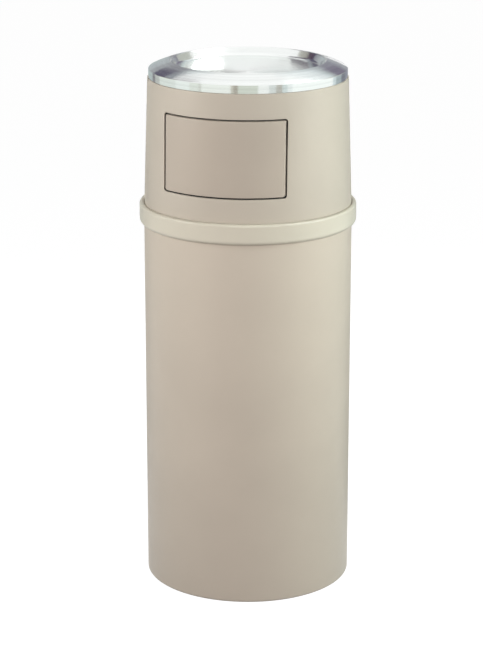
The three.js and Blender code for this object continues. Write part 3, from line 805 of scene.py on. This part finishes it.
def underside(line, thickness):
    """The same line moved down by the sheet's thickness."""
    made = []
    for i, (r, z) in enumerate(line):
        r0, z0 = line[max(i - 1, 0)]
        r1, z1 = line[min(i + 1, len(line) - 1)]
        length = math.hypot(r1 - r0, z1 - z0)
        below = (r - (z1 - z0) / length * thickness, z + (r1 - r0) / length * thickness)
        made.append((0.0 if r < ON_AXIS else below[0], z if i == 0 else below[1]))
    return made


bm = bmesh.new()
upper = tray_profile()
lower = underside(upper, SHEET_T)
hem = [(TRAY_R - 0.0014, TRAY_LOW - 0.0001), (TRAY_R - 0.0002, TRAY_LOW - 0.0001)]
turn(bm, list(reversed(lower)) + hem + held(upper[:2]) + upper[2:], TRAY_COLUMNS)
new_piece("tray_skin", bm, "ash_tray", TRAY_METAL, ["ash_tray"])

# ---- Hinge hardware ----
ROD_R = 0.0025
BORE = 0.0028  # of the bushes and the clips, round the rod
WIRE_R = 0.0008
COIL_R = 0.005
CLIP_START = BRACKET_IN + STRAP + SEAT
ROD_END = CLIP_START + 0.0045
bm = bmesh.new()
half_rod = [(ROD_R, ROD_END - 0.0007), (0.0019, ROD_END), (0, ROD_END)]
turn_on_hinge(bm, [(r, -x) for r, x in reversed(half_rod)] + half_rod)
new_piece("rod_bar", bm, "hood", ZINC, ["hinge_rod"])


CURLS = 47 / 8
CURL_PITCH = 0.0023
COIL_STEPS = 47 * 4


def spring_points(side):
    """The wire's centre: a leg on the hood, curls round the rod, a leg on the door.

    With them come the places along X where the curls start and end.
    """
    end_x = DOOR_HALF - DOOR_WALL - 0.0004 - WIRE_R
    start_x = end_x - CURLS * CURL_PITCH

    def on_wall(x, wall, z):
        r = wall - 0.0014
        return Vector((x * side, -math.sqrt(r * r - x * x), z))

    coil = []
    for i in range(COIL_STEPS + 1):
        a = 1.25 * math.pi + i / 32 * 2 * math.pi
        x = start_x + (end_x - start_x) * i / COIL_STEPS
        y, z = PIVOT_Y + COIL_R * math.cos(a), PIVOT_Z + COIL_R * math.sin(a)
        coil.append(Vector((x * side, y, z)))
    hood_z, door_z = PIVOT_Z + 0.024, PIVOT_Z - 0.038
    top = on_wall(start_x, hood_r(hood_z) - WALL, hood_z)
    low = on_wall(end_x, hood_r(door_z) - DOOR_SKIN, door_z)
    first = [top.lerp(coil[0], i / 12) for i in range(12)]
    last = [coil[-1].lerp(low, i / 12) for i in range(1, 13)]
    return first + coil + last, start_x, end_x


HEAD_R, HEAD_HEIGHT = 0.0038, 0.0024
THREAD_R, CORE_R = 0.00175, 0.0014

for side, word in ((1, "right"), (-1, "left")):
    bm = bmesh.new()
    sleeve, flange, edge = 0.0042, 0.006, 0.0003
    a, b, c = DOOR_HALF - DOOR_WALL, DOOR_HALF + SEAT, DOOR_HALF + SEAT + BUSH_LENGTH
    bush = [(BORE, a), (sleeve - edge, a), (sleeve, a + edge), (sleeve, b), (flange - edge, b)]
    bush += [(flange, b + edge), (flange, c - edge), (flange - edge, c), (BORE, c), (BORE, a)]
    turn_on_hinge(bm, bush, side)
    new_piece(f"bush_{word}", bm, "door", NYLON, [f"hinge_bush_{word}"])

    bm = bmesh.new()
    clip = [(BORE, CLIP_START), (0.0055, CLIP_START), (0.0055, CLIP_START + 0.0004)]
    clip += [(0.0052, CLIP_START + 0.0009), (0.0040, CLIP_START + 0.002), (BORE, CLIP_START + 0.002)]
    clip += [(BORE, CLIP_START)]
    turn_on_hinge(bm, clip, side)
    new_piece(f"clip_{word}", bm, "hood", SPRING_STEEL, [f"rod_clip_{word}"])

    bm = bmesh.new()
    points, start_x, end_x = spring_points(side)
    tube(bm, points, WIRE_R)
    spring = new_piece(f"spring_{word}", bm, None, SPRING_STEEL)
    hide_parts(f"door_spring_{word}")
    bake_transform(spring)

    for number, z in enumerate(SCREW_ZS, 1):
        bm = bmesh.new()
        head = SCREW_AT - OUTWARD * (STRAP / 2 + SEAT + HEAD_HEIGHT) + Vector((0, 0, z))
        tip = SCREW_AT + OUTWARD * 0.01425 + Vector((0, 0, z))
        total = (tip - head).length
        screw = [(0.0, 0.0014), (0.0008, 0.0012), (0.0009, 0.0), (0.0022, 0.0001), (0.0031, 0.0005)]
        screw += [(0.0037, 0.0012), (HEAD_R, 0.0018), (HEAD_R, HEAD_HEIGHT), (THREAD_R, HEAD_HEIGHT)]
        for k in range(9):
            d = 0.004 + k * 0.0011
            screw += [(THREAD_R, d), (CORE_R, d + 0.0004)]
        screw += [(CORE_R, total - 0.0014), (0.0, total)]
        bar(bm, mirrored(head, side), mirrored(tip, side), screw)
        name = f"bracket_screw_{word}_{number}"
        new_piece(f"screw_{word}_{number}", bm, "hood", ZINC, [name])

# These nodes stay as they are in the CAD model and only get a material.
KEPT = {
    "hinge_bracket_left": ZINC,
    "hinge_bracket_right": ZINC,
    "door_bumper_left": RUBBER_AND_GAP_SHADE,
    "door_bumper_right": RUBBER_AND_GAP_SHADE,
}
for name, look in KEPT.items():
    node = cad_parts[name]
    node.data.materials.clear()
    node.data.materials.append(look)

# ---- Studio ----
AZIMUTH = math.radians(15.6)  # of the camera, to the right of the door's middle


def around(degrees, distance, height):
    """A place so many degrees to the camera's right round the receptacle, from the camera's side."""
    a = AZIMUTH + math.radians(degrees)
    return Vector((distance * math.sin(a), -distance * math.cos(a), height))


AIMED_AT = (0, 0, 0.75)


def softbox(name, place, size, power, colour):
    """A soft rectangular lamp that the camera and the gloss don't see."""
    lamp = bpy.data.lights.new(name, "AREA")
    lamp.shape = "RECTANGLE"
    lamp.size, lamp.size_y = size
    lamp.energy = power
    lamp.color = colour
    obj = bpy.data.objects.new(name, lamp)
    obj.location = place
    obj.rotation_euler = (Vector(AIMED_AT) - obj.location).to_track_quat("-Z", "Y").to_euler()
    obj.visible_camera = False
    obj.visible_glossy = False
    bpy.context.scene.collection.objects.link(obj)


softbox("front_box", around(0, 1.7, 1.25), (1.6, 0.9), 9.3, (1, 0.98, 0.98))
softbox("low_front_box", around(0, 3.0, 0.25), (2.4, 0.4), 20.5, (1, 0.89, 0.92))
softbox("left_box", around(-70, 1.5, 1.2), (0.7, 0.9), 20, (0.98, 0.99, 1))
softbox("right_front_box", around(45, 1.6, 1.25), (0.7, 0.9), 5.5, (0.96, 0.99, 1))
softbox("right_box", around(75, 1.5, 1.2), (0.7, 0.9), 23, (0.9, 1, 0.99))
softbox("back_box", around(-170, 2.0, 1.25), (1.0, 1.2), 26, (1, 0.99, 0.98))

CARDS_OUT = 2.3  # how far the cards stand from the receptacle's axis


def upright(low, high):
    """The edges of a card that stands straight up between two heights."""
    return ((CARDS_OUT, low), (CARDS_OUT, high))


NEAR_FLOOR = upright(0, 1.1)
FEET = upright(0, 0.8)
BACK = upright(0.9, 2.4)
ON_FLOOR = ((0.24, 0.003), (2.29, 0.003))
ALOFT = ((CARDS_OUT, 3.1), (1.6, 4.6))
CEILING = ((1.6, 4.6), (0.02, 4.9))
LEANING = ((CARDS_OUT, 2.75), (2.0, 3.9))

# Cards round the receptacle that only show in its gloss: (from, to) in degrees to the camera's
# right, the (distance, height) of their two edges, and brightness as red, green, blue.
CARDS = (
    ((20, 32), ALOFT, (1.02, 1.02, 1.02)),
    ((32, 42), ALOFT, (1.05, 1.05, 1.05)),
    ((42, 52), ALOFT, (1.08, 1.08, 1.08)),
    ((52, 60), ALOFT, (1.12, 1.12, 1.12)),
    ((60, 68), ALOFT, (2.0, 2.0, 2.0)),
    ((68, 135), ALOFT, (4.1, 4.2, 4.1)),
    ((-150, -123), LEANING, (0.14, 0.12, 0.15)),
    ((-123, -117), LEANING, (0.38, 0.37, 0.38)),
    ((-117, -111), LEANING, (0.60, 0.60, 0.60)),
    ((-111, -105), LEANING, (0.82, 0.83, 0.82)),
    ((-180, 180), CEILING, (1.08, 1.08, 1.08)),
    ((-180, -172), FEET, (0.46, 0.52, 0.52)),
    ((-172, -139), NEAR_FLOOR, (0.46, 0.52, 0.52)),
    ((-139, -131), NEAR_FLOOR, (0.24, 0.23, 0.25)),
    ((-131, -119), NEAR_FLOOR, (0.52, 0.54, 0.52)),
    ((-119, -88), NEAR_FLOOR, (0.74, 0.79, 0.75)),
    ((-88, -68), NEAR_FLOOR, (0.84, 0.89, 0.86)),
    ((-68, -56), NEAR_FLOOR, (0.74, 0.78, 0.72)),
    ((-56, -53), NEAR_FLOOR, (0.62, 0.64, 0.58)),
    ((-53, -19), NEAR_FLOOR, (0.86, 0.89, 0.84)),
    ((-19, -16), NEAR_FLOOR, (0.56, 0.54, 0.46)),
    ((-16, -11), NEAR_FLOOR, (0.36, 0.33, 0.27)),
    ((-11, 11), NEAR_FLOOR, (0.62, 0.66, 0.58)),
    ((11, 23), NEAR_FLOOR, (0.90, 0.92, 0.90)),
    ((23, 31), NEAR_FLOOR, (0.66, 0.70, 0.68)),
    ((31, 38), NEAR_FLOOR, (0.46, 0.45, 0.40)),
    ((38, 44), NEAR_FLOOR, (0.62, 0.70, 0.69)),
    ((44, 50), NEAR_FLOOR, (0.84, 0.89, 0.88)),
    ((50, 111), NEAR_FLOOR, (1.0, 1.04, 1.02)),
    ((111, 118), NEAR_FLOOR, (0.66, 0.74, 0.76)),
    ((118, 132), NEAR_FLOOR, (0.40, 0.46, 0.48)),
    ((132, 147), NEAR_FLOOR, (0.22, 0.23, 0.27)),
    ((147, 165), NEAR_FLOOR, (0.30, 0.31, 0.36)),
    ((165, 180), FEET, (0.30, 0.31, 0.36)),
    ((-180, -136), ON_FLOOR, (0.50, 0.54, 0.55)),
    ((128, 180), ON_FLOOR, (0.24, 0.24, 0.27)),
    ((-179, -177), BACK, (0.50, 0.50, 0.49)),
    ((-177, -172), BACK, (0.20, 0.19, 0.21)),
    ((-172, -131), upright(1.1, 1.5), (0.45, 0.48, 0.50)),
    ((-172, -131), upright(1.5, 1.8), (0.36, 0.37, 0.39)),
    ((-172, -163), upright(1.8, 2.42), (0.33, 0.33, 0.35)),
    ((-172, -163), upright(2.42, 2.75), (0.70, 0.76, 0.77)),
    ((-163, -131), upright(1.8, 2.42), (0.12, 0.11, 0.16)),
    ((-163, -131), upright(2.42, 2.75), (0.32, 0.34, 0.37)),
    ((-131, -118), upright(1.1, 2.75), (0.09, 0.06, 0.09)),
    ((-118, -98), upright(1.1, 2.75), (0.43, 0.42, 0.38)),
    ((113, 145), upright(1.1, 2.75), (0.52, 0.53, 0.49)),
    ((145, 172), upright(1.1, 1.4), (0.36, 0.37, 0.40)),
    ((145, 172), upright(1.4, 1.55), (0.28, 0.28, 0.32)),
    ((145, 165), upright(1.55, 2.12), (0.21, 0.19, 0.25)),
    ((165, 172), upright(1.55, 1.9), (0.29, 0.29, 0.33)),
    ((165, 172), upright(1.9, 2.28), (0.52, 0.56, 0.58)),
    ((145, 165), upright(2.12, 2.28), (0.42, 0.44, 0.46)),
    ((145, 172), upright(2.28, 2.45), (0.62, 0.69, 0.71)),
    ((145, 172), upright(2.45, 3.3), (0.80, 0.84, 0.85)),
    ((172, 177), BACK, (0.42, 0.43, 0.43)),
    ((177, 179), BACK, (0.70, 0.74, 0.73)),
)


def card(name, sweep, edges, colour):
    """A curved card that glows evenly, seen only in gloss."""
    look = bpy.data.materials.new(name)
    look.use_nodes = True
    nodes, links = look.node_tree.nodes, look.node_tree.links
    nodes.clear()
    out = nodes.new("ShaderNodeOutputMaterial")
    glow = nodes.new("ShaderNodeEmission")
    glow.inputs["Color"].default_value = (*colour, 1)
    links.new(glow.outputs["Emission"], out.inputs["Surface"])
    bm = bmesh.new()
    last = None
    start, end = sweep
    steps = max(2, round((end - start) / 3))
    for i in range(steps + 1):
        at = start + (end - start) * i / steps
        pair = [bm.verts.new(around(at, distance, height)) for distance, height in edges]
        if last:
            bm.faces.new((last[0], pair[0], pair[1], last[1]))
        last = pair
    mesh = bpy.data.meshes.new(name)
    bm.to_mesh(mesh)
    bm.free()
    mesh.materials.append(look)
    obj = bpy.data.objects.new(name, mesh)
    bpy.context.scene.collection.objects.link(obj)
    obj.visible_camera = False
    obj.visible_diffuse = False
    obj.visible_shadow = False
    obj.visible_transmission = False


for number, (sweep, edges, colour) in enumerate(CARDS, 1):
    card(f"studio_card_{number}", sweep, edges, colour)


def seen_directly(nodes, links):
    """1 where the surroundings are seen by the camera, in gloss or through something clear, else 0."""
    path = nodes.new("ShaderNodeLightPath")
    value = path.outputs["Is Camera Ray"]
    for kind in ("Is Glossy Ray", "Is Transmission Ray"):
        either = nodes.new("ShaderNodeMath")
        either.operation = "MAXIMUM"
        links.new(value, either.inputs[0])
        links.new(path.outputs[kind], either.inputs[1])
        value = either.outputs["Value"]
    return value


FILL = 0.06  # how brightly the surroundings light matt surfaces
FLOOR_TONE = 0.15
FLOOR_GLOW = 0.975

world = bpy.data.worlds.new("studio")
bpy.context.scene.world = world
world.use_nodes = True
nodes, links = world.node_tree.nodes, world.node_tree.links
back = nodes["Background"]
back.inputs["Color"].default_value = (1, 1, 1, 1)
level = nodes.new("ShaderNodeMapRange")
level.inputs["To Min"].default_value = FILL
level.inputs["To Max"].default_value = 1.0
links.new(seen_directly(nodes, links), level.inputs["Value"])
links.new(level.outputs["Result"], back.inputs["Strength"])

floor_mesh = bpy.data.meshes.new("studio_floor")
bm = bmesh.new()
bmesh.ops.create_circle(bm, cap_ends=True, segments=96, radius=30)
bm.to_mesh(floor_mesh)
bm.free()
floor = bpy.data.objects.new("studio_floor", floor_mesh)
bpy.context.scene.collection.objects.link(floor)
floor_look = bpy.data.materials.new("pale floor")
floor_look.use_nodes = True
nodes, links = floor_look.node_tree.nodes, floor_look.node_tree.links
nodes.clear()
out = nodes.new("ShaderNodeOutputMaterial")
matt = nodes.new("ShaderNodeBsdfDiffuse")
matt.inputs["Color"].default_value = (FLOOR_TONE, FLOOR_TONE, FLOOR_TONE, 1)
glow = nodes.new("ShaderNodeEmission")
level = nodes.new("ShaderNodeMath")
level.operation = "MULTIPLY"
level.inputs[1].default_value = FLOOR_GLOW
links.new(seen_directly(nodes, links), level.inputs[0])
links.new(level.outputs["Value"], glow.inputs["Strength"])
both = nodes.new("ShaderNodeAddShader")
links.new(matt.outputs["BSDF"], both.inputs[0])
links.new(glow.outputs["Emission"], both.inputs[1])
links.new(both.outputs["Shader"], out.inputs["Surface"])
floor_mesh.materials.append(floor_look)

bpy.context.scene.view_settings.view_transform = "Standard"

# ---- Camera ----
CAMERA_OUT, CAMERA_UP = 4.06, 1.666
PITCH = math.radians(16.374)  # how far it looks down
ASIDE = math.radians(0.165)  # how far it looks past the receptacle's axis
lens = bpy.data.cameras.new("camera")
lens.sensor_width = 36
lens.lens = 126.85
camera = bpy.data.objects.new("camera", lens)
bpy.context.scene.collection.objects.link(camera)
bpy.context.scene.camera = camera
camera.location = around(0, CAMERA_OUT, CAMERA_UP)
camera.rotation_euler = (math.radians(90) - PITCH, 0, AZIMUTH + ASIDE)
